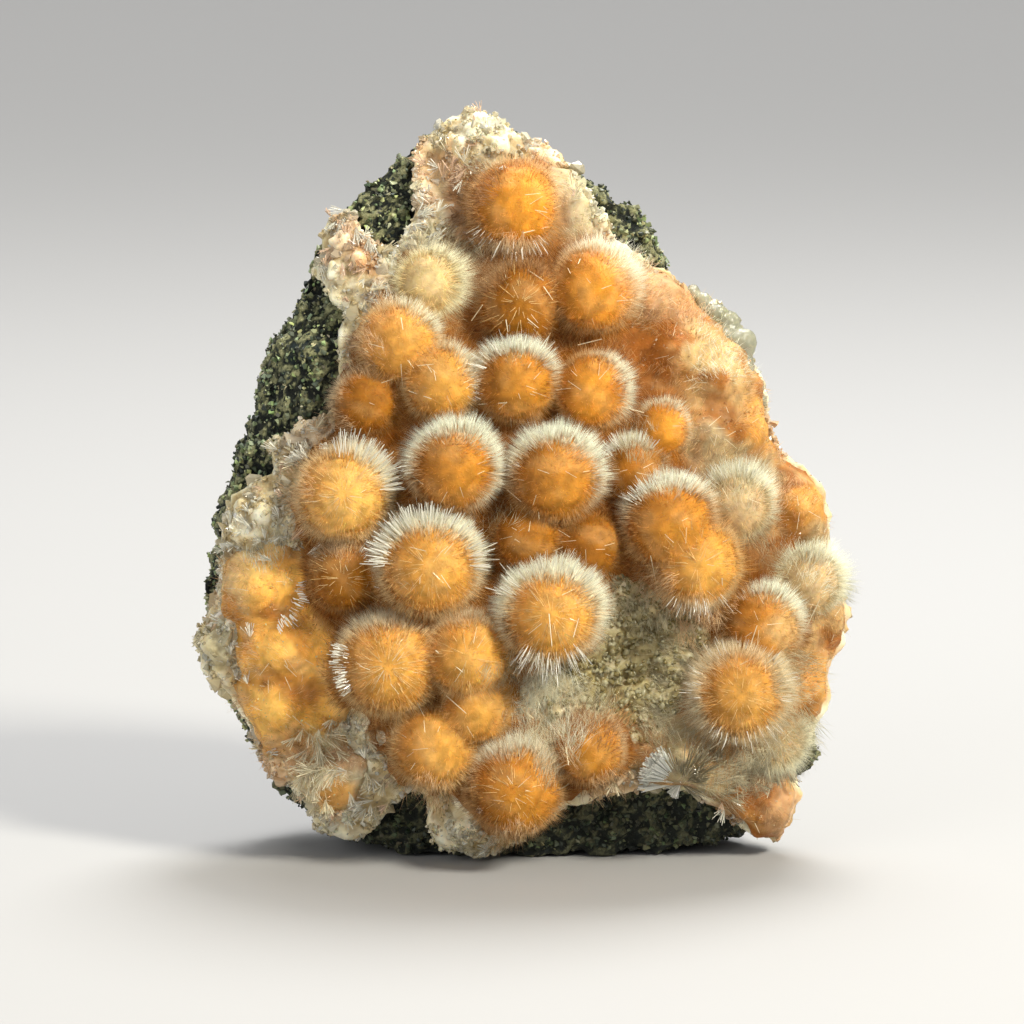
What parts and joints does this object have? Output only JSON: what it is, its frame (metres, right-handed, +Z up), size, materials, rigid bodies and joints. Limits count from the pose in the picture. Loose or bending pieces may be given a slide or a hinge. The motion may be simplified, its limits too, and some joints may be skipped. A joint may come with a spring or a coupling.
{
  "type": "thomsonite mineral specimen on basalt",
  "caption": "Furry orange balls of radiating crystals on a pale crystal crust over dark basalt, standing on a small flat spot.",
  "frame": {"origin": "middle of the small flat spot that the specimen rests on", "axes": "+Z up, -Y towards the viewer of the crystal face, +X to that viewer's right"},
  "size_m": [0.0664, 0.0486, 0.0753],
  "materials": {
    "basalt": "crumbly green-black basalt, rough, with bright specks",
    "pale_crust": "glassy cream to olive druse of tiny crystals",
    "thomsonite": "silky orange cores with a halo of fine white crystal needles"
  },
  "bodies": {
    "root": {"basalt_matrix": "basalt", "druse_crust": "pale_crust", "thomsonite_balls": "thomsonite"}
  },
  "joints": []
}
